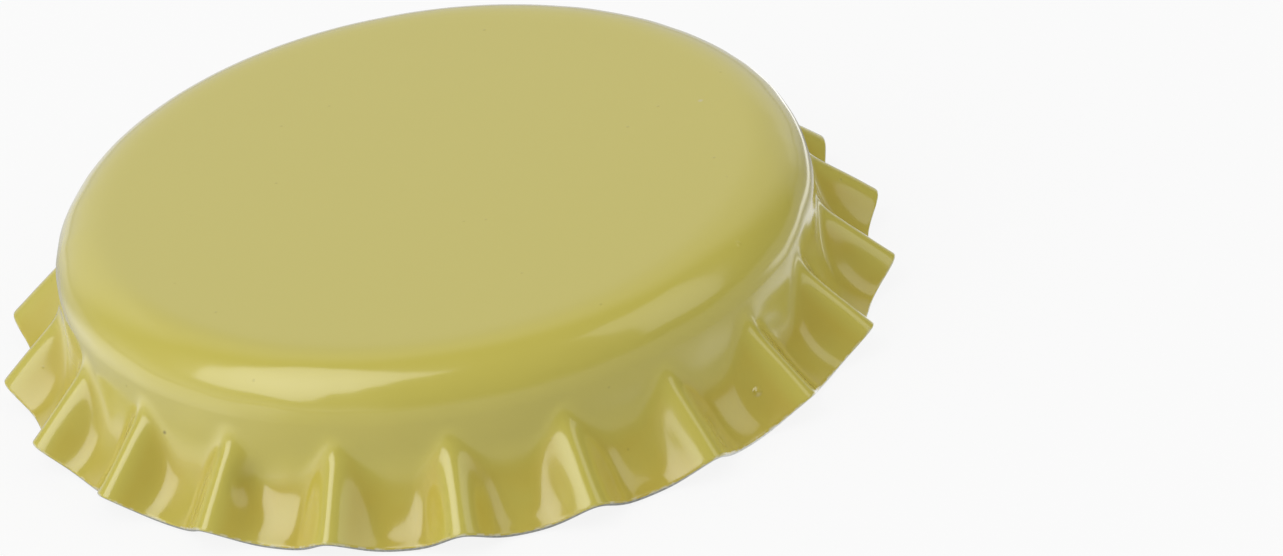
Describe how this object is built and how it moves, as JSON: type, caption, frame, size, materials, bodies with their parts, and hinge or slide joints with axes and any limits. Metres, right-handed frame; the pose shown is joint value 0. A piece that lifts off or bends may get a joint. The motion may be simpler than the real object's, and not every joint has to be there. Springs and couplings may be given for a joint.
{
  "type": "crown bottle cap",
  "caption": "Round pressed metal crown cap with a flat panel, a fluted flared skirt and a soft sealing liner inside.",
  "frame": {"origin": "centre of the circle that the edge of the skirt rests on", "axes": "+Z out of the panel, along the axis of the cap; +X through the tip of one ridge of the skirt"},
  "size_m": [0.0319, 0.032, 0.0062],
  "materials": {
    "lacquered_tinplate": "glossy olive yellow lacquer over tinplate",
    "liner_compound": "soft off-white moulded compound"
  },
  "bodies": {
    "root": {"shell": "lacquered_tinplate", "liner": "liner_compound"}
  },
  "joints": []
}
